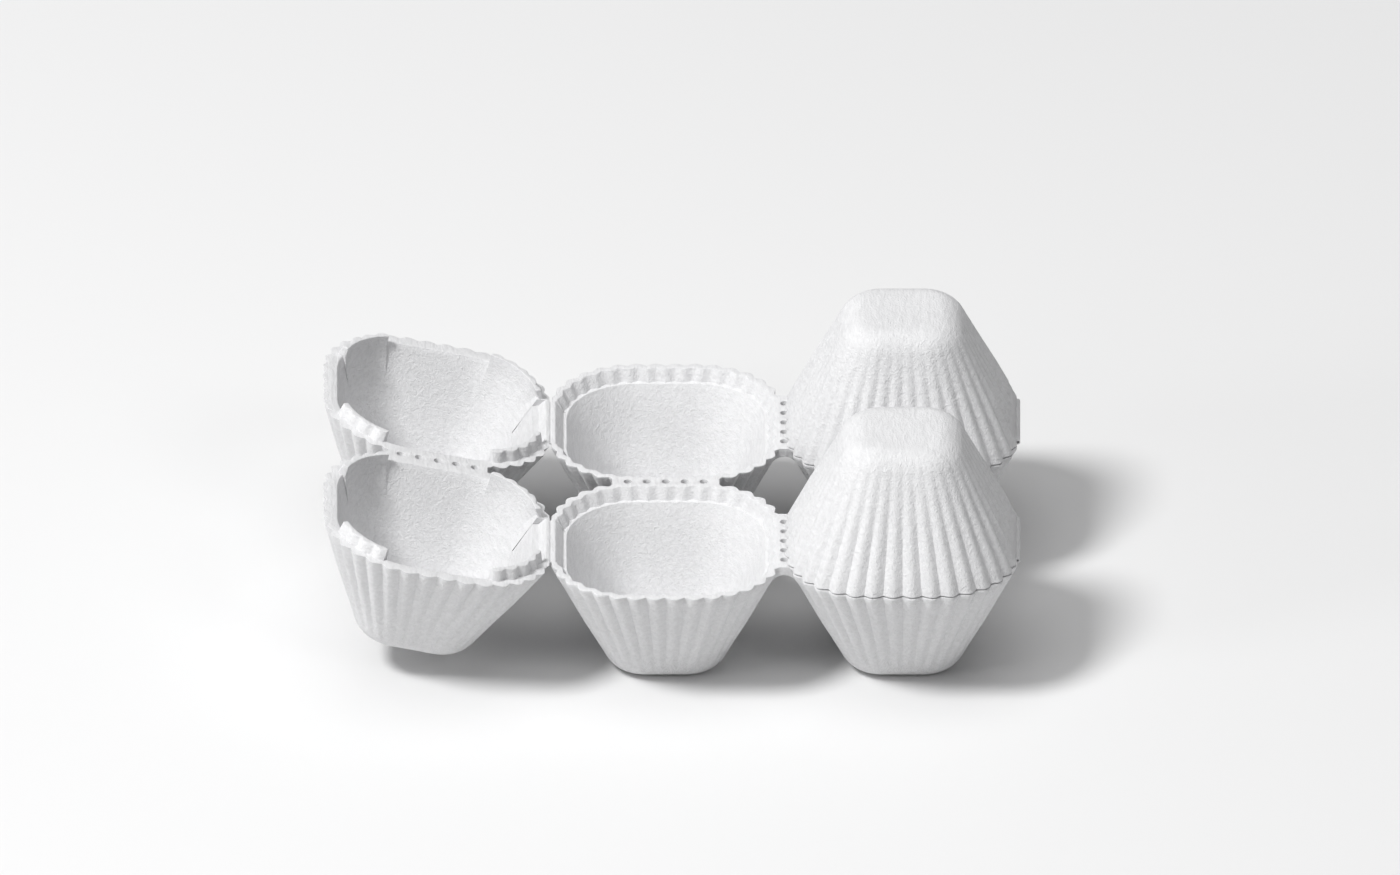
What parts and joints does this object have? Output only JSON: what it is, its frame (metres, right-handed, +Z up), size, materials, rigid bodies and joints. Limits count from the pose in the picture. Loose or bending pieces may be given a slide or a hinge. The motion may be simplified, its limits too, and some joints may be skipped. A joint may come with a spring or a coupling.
{
  "type": "egg carton",
  "caption": "Moulded pulp egg carton with fluted cups joined by perforated webs, and hinged fluted lids with corner locking tabs, one pair open and one pair closed.",
  "frame": {"origin": "on the surface the carton stands on, under the middle of its whole box with the left lids open", "axes": "+Z up, +X from the open lids towards the closed ones across the two columns of cups, +Y from the front row to the back row, along the hinges"},
  "size_m": [0.1852, 0.1258, 0.069],
  "materials": {
    "pulp": "matte"
  },
  "bodies": {
    "tray": {"cup_left_front": "pulp", "cup_left_back": "pulp", "cup_right_front": "pulp", "cup_right_back": "pulp", "cup_web_front": "pulp", "cup_web_back": "pulp", "cup_web_left": "pulp", "cup_web_right": "pulp", "cup_hinge_left_front": "pulp", "cup_hinge_left_back": "pulp", "cup_hinge_right_front": "pulp", "cup_hinge_right_back": "pulp"},
    "lid_pair_left": {"lid_left_front": "pulp", "lid_hinge_left_front": "pulp", "tab_left_front_hinge_outer": "pulp", "tab_left_front_hinge_inner": "pulp", "tab_left_front_free_outer": "pulp", "tab_left_front_free_inner": "pulp", "lid_left_back": "pulp", "lid_hinge_left_back": "pulp", "tab_left_back_hinge_outer": "pulp", "tab_left_back_hinge_inner": "pulp", "tab_left_back_free_outer": "pulp", "tab_left_back_free_inner": "pulp", "lid_web_left": "pulp"},
    "lid_pair_right": {"lid_right_front": "pulp", "lid_hinge_right_front": "pulp", "tab_right_front_hinge_outer": "pulp", "tab_right_front_hinge_inner": "pulp", "tab_right_front_free_outer": "pulp", "tab_right_front_free_inner": "pulp", "lid_right_back": "pulp", "lid_hinge_right_back": "pulp", "tab_right_back_hinge_outer": "pulp", "tab_right_back_hinge_inner": "pulp", "tab_right_back_free_outer": "pulp", "tab_right_back_free_inner": "pulp", "lid_web_right": "pulp"}
  },
  "joints": [
    {"name": "left_lids_hinge", "type": "hinge", "parent": "tray", "child": "lid_pair_left", "pos_m": [-0.03187, 0, 0.0348], "axis": [0, -1, 0], "range_deg": [-168, 10]},
    {"name": "right_lids_hinge", "type": "hinge", "parent": "tray", "child": "lid_pair_right", "pos_m": [0.09243, 0, 0.0348], "axis": [0, 1, 0], "range_deg": [0, 178]}
  ]
}
